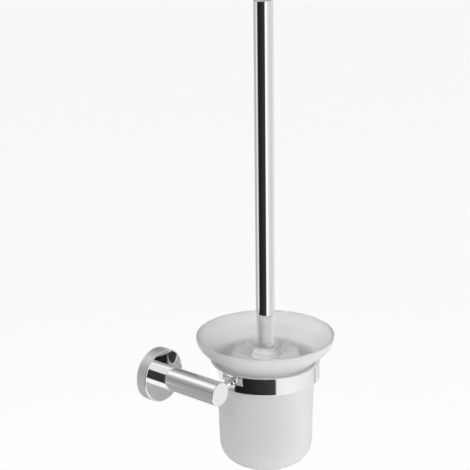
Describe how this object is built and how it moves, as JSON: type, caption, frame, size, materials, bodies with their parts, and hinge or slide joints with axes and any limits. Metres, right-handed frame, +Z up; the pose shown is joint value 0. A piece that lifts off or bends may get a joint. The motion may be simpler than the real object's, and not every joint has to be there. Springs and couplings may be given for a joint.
{
  "type": "toilet brush holder",
  "caption": "Wall-mounted toilet brush holder: a round arm carries a metal ring with a frosted glass cup, and a brush with a tubular handle stands in it.",
  "frame": {"origin": "centre of the wall plate's back face, on the wall", "axes": "-Y points out of the wall along the arm, +Z is up along the handle, the cup stands on the +X side of the arm"},
  "size_m": [0.1386, 0.1127, 0.366],
  "materials": {
    "chrome": "polished",
    "steel": "zinc plated",
    "liner": "translucent",
    "frosted_glass": "frosted",
    "white_plastic": "satin",
    "bristle": "filament"
  },
  "bodies": {
    "holder": {"wall_bracket": "steel", "wall_flange": "chrome", "flange_grub_screw": "steel", "arm": "chrome", "arm_screw": "steel", "arm_screw_washer": "steel", "arm_grub_screw": "steel", "ring_post": "chrome", "holder_ring": "chrome"},
    "seat": {"ring_liner": "liner"},
    "cup": {"glass_cup": "frosted_glass"},
    "brush_head": {"head_stud": "steel", "brush_core": "white_plastic", "bristle_row_1": "bristle", "bristle_row_2": "bristle", "bristle_row_3": "bristle", "bristle_row_4": "bristle", "bristle_row_5": "bristle", "bristle_row_6": "bristle", "bristle_row_7": "bristle", "bristle_row_8": "bristle", "bristle_row_9": "bristle", "bristle_crown": "bristle"},
    "washer": {"head_washer": "white_plastic"},
    "handle": {"handle_tube": "chrome", "handle_top_cap": "chrome", "handle_ferrule": "chrome", "thread_insert": "steel"}
  },
  "joints": [
    {"name": "cup_turn", "type": "hinge", "parent": "holder", "child": "seat", "pos_m": [0.0637, -0.0587, 0], "axis": [0, 0, 1], "continuous": true},
    {"name": "cup_lift", "type": "slide", "parent": "seat", "child": "cup", "axis": [0, 0, 1], "range_m": [0, 0.1]},
    {"name": "brush_lift", "type": "slide", "parent": "cup", "child": "brush_head", "axis": [0, 0, 1], "range_m": [0, 0.11]},
    {"name": "thread_rise", "type": "slide", "parent": "brush_head", "child": "washer", "axis": [0, 0, 1], "range_m": [0, 0.01201]},
    {"name": "handle_unscrew", "type": "hinge", "parent": "washer", "child": "handle", "pos_m": [0.0637, -0.0587, 0.0169], "axis": [0, 0, 1], "range_deg": [0, 2880]}
  ],
  "couplings": [
    {"joint": "thread_rise", "follows": "handle_unscrew", "m_per_rad": 0.00023873}
  ]
}
